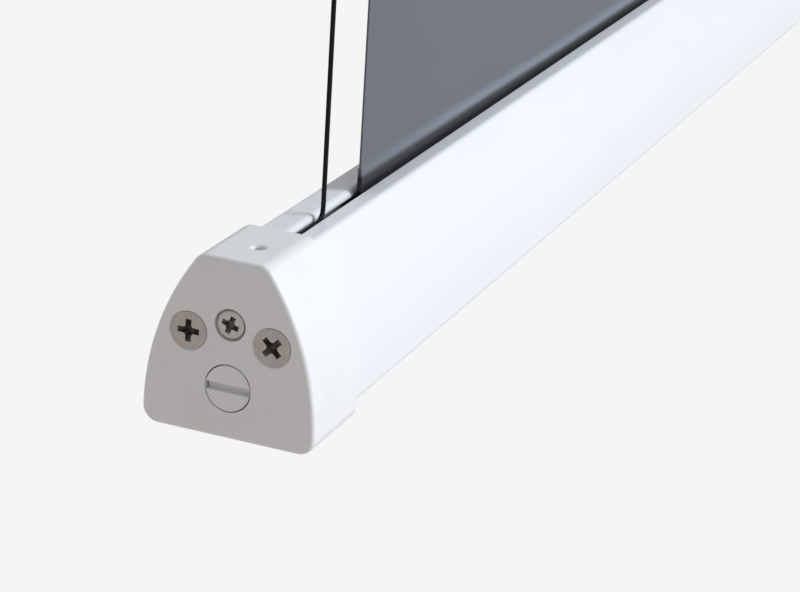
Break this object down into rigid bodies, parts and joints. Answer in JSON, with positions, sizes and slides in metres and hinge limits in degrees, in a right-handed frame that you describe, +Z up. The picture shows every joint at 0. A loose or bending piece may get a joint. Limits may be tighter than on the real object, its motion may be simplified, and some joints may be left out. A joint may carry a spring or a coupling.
{
  "type": "roller blind",
  "caption": "Motorised roller blind with a dark fabric, side tension cords and a white bell-shaped bottom bar whose end caps hold the cord adjusters.",
  "frame": {"origin": "centre of the ceiling bracket holes, on the brackets' top face", "axes": "+X along the blind to its right-hand end seen from the front, -Y to the front, +Z up; the fabric hangs down"},
  "size_m": [1.248, 0.094, 1.2329],
  "materials": {
    "white_paint": "satin white powder coat",
    "white_plastic": "fine matt moulded white",
    "zinc_steel": "bright zinc plate",
    "screw_steel": "nickel plate with a warm tint",
    "roller_aluminium": "mill finish",
    "motor_steel": "galvanised tube",
    "black_plastic": "moulded nylon",
    "dial_plastic": "moulded yellow",
    "screen_fabric": "smooth dark grey coated film",
    "clear_tab": "clear soft vinyl",
    "black_cord": "braided polyester"
  },
  "bodies": {
    "head": {"cassette_housing": "white_paint", "front_cover": "white_paint", "end_plate_left": "zinc_steel", "end_plate_right": "zinc_steel", "end_cover_left": "white_plastic", "end_cover_right": "white_plastic", "end_screws_left": "screw_steel", "end_screws_right": "screw_steel", "motor_bracket": "zinc_steel", "idler_bracket": "zinc_steel", "bracket_rivets_left": "screw_steel", "bracket_rivets_right": "screw_steel", "motor_tube": "motor_steel", "motor_head": "black_plastic", "idler_bearing": "black_plastic", "power_inlet_gland": "black_plastic", "ceiling_bracket_left": "zinc_steel", "ceiling_bracket_right": "zinc_steel", "bracket_lock_screws": "screw_steel", "fabric": "screen_fabric", "side_cord_left": "black_cord", "side_cord_right": "black_cord", "tension_tabs_left": "clear_tab", "tension_tabs_right": "clear_tab"},
    "roller": {"roller_tube": "roller_aluminium", "motor_crown": "black_plastic", "drive_wheel": "black_plastic", "motor_shaft": "screw_steel", "idler_plug": "black_plastic", "idler_pin": "screw_steel", "fabric_keder": "black_plastic", "wound_fabric": "screen_fabric", "cord_collar_left": "black_plastic", "cord_collar_right": "black_plastic", "cord_wrap_left": "black_cord", "cord_wrap_right": "black_cord", "cord_anchor_screws": "screw_steel"},
    "bottom_rail": {"bottom_bar": "white_paint", "ballast_bar": "zinc_steel", "hem_rod": "black_plastic", "fabric_hem": "screen_fabric", "end_cap_left": "white_plastic", "end_cap_right": "white_plastic", "cap_screws_left": "screw_steel", "cap_screws_right": "screw_steel", "guide_screw_left": "screw_steel", "guide_screw_right": "screw_steel", "cord_guide_left": "black_plastic", "cord_guide_right": "black_plastic", "cord_tail_left": "black_cord", "cord_tail_right": "black_cord"},
    "left_adjuster": {"tension_adjuster_left": "white_plastic", "adjuster_clip_left": "screw_steel", "cord_turns_left": "black_cord"},
    "right_adjuster": {"tension_adjuster_right": "white_plastic", "adjuster_clip_right": "screw_steel", "cord_turns_right": "black_cord"},
    "up_limit": {"limit_dial_up": "dial_plastic"},
    "down_limit": {"limit_dial_down": "dial_plastic"}
  },
  "joints": [
    {"name": "bar_lift", "type": "slide", "parent": "head", "child": "bottom_rail", "axis": [0, 0, 1], "range_m": [0, 1.1042], "deforming": ["fabric", "side_cord_left", "side_cord_right", "tension_tabs_left", "tension_tabs_right"]},
    {"name": "roller_turn", "type": "hinge", "parent": "head", "child": "roller", "pos_m": [0, -0.006, -0.05], "axis": [1, 0, 0], "range_deg": [0, 2450]},
    {"name": "left_adjuster_turn", "type": "hinge", "parent": "bottom_rail", "child": "left_adjuster", "pos_m": [-0.6, 0.0211, -1.2229], "axis": [1, 0, 0], "range_deg": [-180, 540]},
    {"name": "right_adjuster_turn", "type": "hinge", "parent": "bottom_rail", "child": "right_adjuster", "pos_m": [0.6, 0.0211, -1.2229], "axis": [1, 0, 0], "range_deg": [-540, 180]},
    {"name": "up_limit_turn", "type": "hinge", "parent": "head", "child": "up_limit", "pos_m": [0.58805, -0.014, -0.07], "axis": [0, 0, 1], "continuous": true},
    {"name": "down_limit_turn", "type": "hinge", "parent": "head", "child": "down_limit", "pos_m": [0.58805, 0.002, -0.07], "axis": [0, 0, 1], "continuous": true}
  ],
  "couplings": [
    {"joint": "roller_turn", "follows": "bar_lift", "rad_per_m": 38.61}
  ]
}
